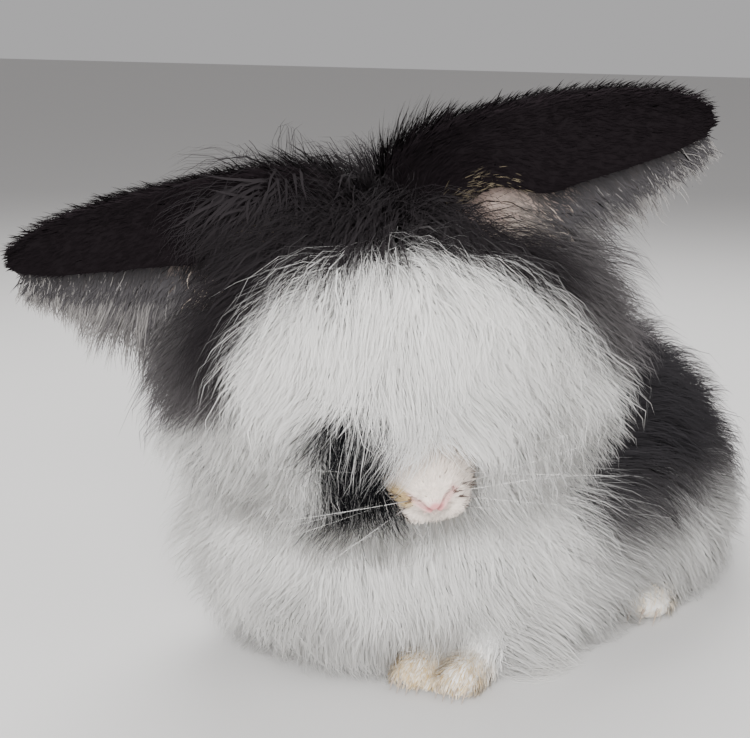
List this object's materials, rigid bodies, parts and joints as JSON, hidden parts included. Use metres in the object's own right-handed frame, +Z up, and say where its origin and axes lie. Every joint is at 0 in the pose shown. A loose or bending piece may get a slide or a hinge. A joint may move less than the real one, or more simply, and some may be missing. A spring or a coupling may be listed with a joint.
{
  "type": "angora rabbit",
  "caption": "Long-coated rabbit sitting at rest, head turned to its left, ears held out to the sides.",
  "frame": {"origin": "point on the floor under the trunk, on the flat of the belly", "axes": "+Z up, the body faces -Y, the animal's own left is +X"},
  "size_m": [0.2239, 0.3248, 0.2225],
  "materials": {
    "coat_white": "soft white wool",
    "coat_dark": "soft dark grey wool",
    "ear_fur": "short velvety fur",
    "skin": "soft bare skin",
    "whisker": "fine stiff hair",
    "claw": "smooth horn",
    "eye": "wet and glossy"
  },
  "bodies": {
    "root": {"torso": "coat_dark", "neck": "coat_white", "head": "coat_white", "tail": "coat_dark", "foreleg_left": "coat_white", "foreleg_right": "coat_white", "hind_leg_left": "coat_dark", "hind_leg_right": "coat_dark", "ear_left": "ear_fur", "ear_right": "ear_fur", "eye_left": "eye", "eye_right": "eye"}
  },
  "joints": []
}
